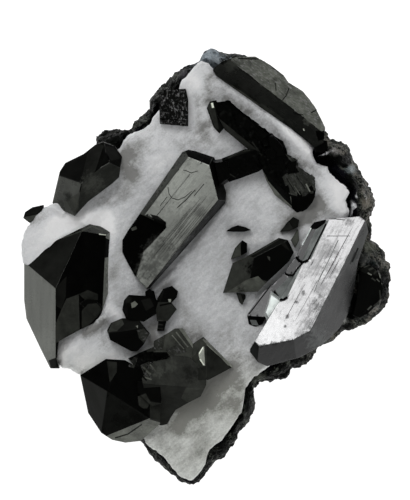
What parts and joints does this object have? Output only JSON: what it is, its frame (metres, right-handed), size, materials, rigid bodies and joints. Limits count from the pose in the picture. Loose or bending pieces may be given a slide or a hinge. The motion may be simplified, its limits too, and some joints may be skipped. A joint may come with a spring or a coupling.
{
  "type": "neptunite on matrix mineral specimen",
  "caption": "Palm-sized mineral specimen: black prismatic crystals standing in a white granular crust on dark rock, lying flat on its back.",
  "frame": {"origin": "middle of the bounding box's base, on the flat back that the specimen lies on", "axes": "+Z out of the crust towards the viewer, +Y along the specimen's length, +X across it to the side with the blade cluster"},
  "size_m": [0.062, 0.0728, 0.0216],
  "materials": {
    "rock": "matte",
    "natrolite": "matte",
    "neptunite": "gloss"
  },
  "bodies": {
    "root": {"matrix_rock": "rock", "natrolite_crust": "natrolite", "centre_crystal": "neptunite", "blade_cluster": "neptunite", "left_crystal": "neptunite", "upper_left_crystal": "neptunite", "upper_right_crystal": "neptunite", "diagonal_cluster": "neptunite", "middle_right_crystal": "neptunite", "lower_middle_cluster": "neptunite", "bottom_cluster": "neptunite", "rough_block": "neptunite", "left_edge_crystal": "neptunite", "rim_crystal": "neptunite", "small_crystal_1": "neptunite", "small_crystal_2": "neptunite", "small_crystal_3": "neptunite", "small_crystal_4": "neptunite", "small_crystal_5": "neptunite"}
  },
  "joints": []
}
